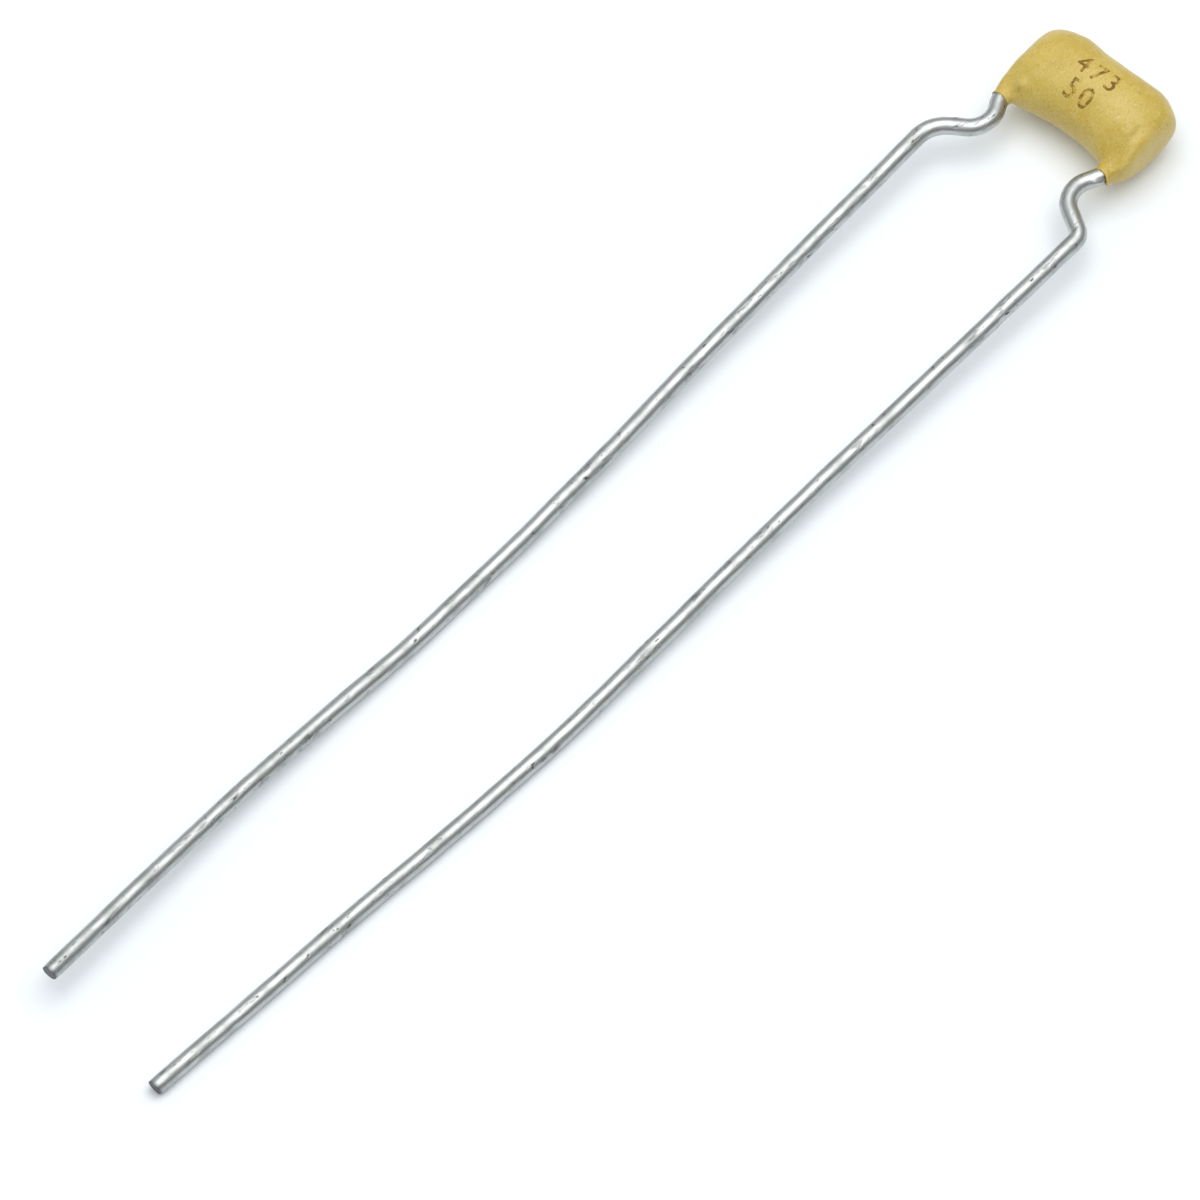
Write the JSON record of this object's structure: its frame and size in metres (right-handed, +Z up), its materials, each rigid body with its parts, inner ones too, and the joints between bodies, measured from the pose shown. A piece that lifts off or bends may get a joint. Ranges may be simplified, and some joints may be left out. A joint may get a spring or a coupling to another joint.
{
  "type": "ceramic capacitor",
  "caption": "Epoxy-dipped multilayer ceramic capacitor: a small pillow-shaped body on long kinked wire leads, soldered through a circuit board to store charge.",
  "frame": {"origin": "on the table, below the middle of the whole part's box", "axes": "+X from the lead tips to the body, +Y across the leads, +Z up from the table"},
  "size_m": [0.0418, 0.0064, 0.0023],
  "materials": {
    "epoxy": "satin mustard-yellow dipped epoxy",
    "tinned_wire": "satin tin plating",
    "ceramic": "matt fired dielectric",
    "electrode": "fired nickel print",
    "termination": "matt tin over fired silver",
    "solder": "satin solder"
  },
  "bodies": {
    "root": {"epoxy_coating": "epoxy", "lead_left": "tinned_wire", "lead_right": "tinned_wire", "ceramic_chip": "ceramic", "electrodes_left": "electrode", "electrodes_right": "electrode", "termination_left": "termination", "termination_right": "termination", "solder_left": "solder", "solder_right": "solder"}
  },
  "joints": []
}
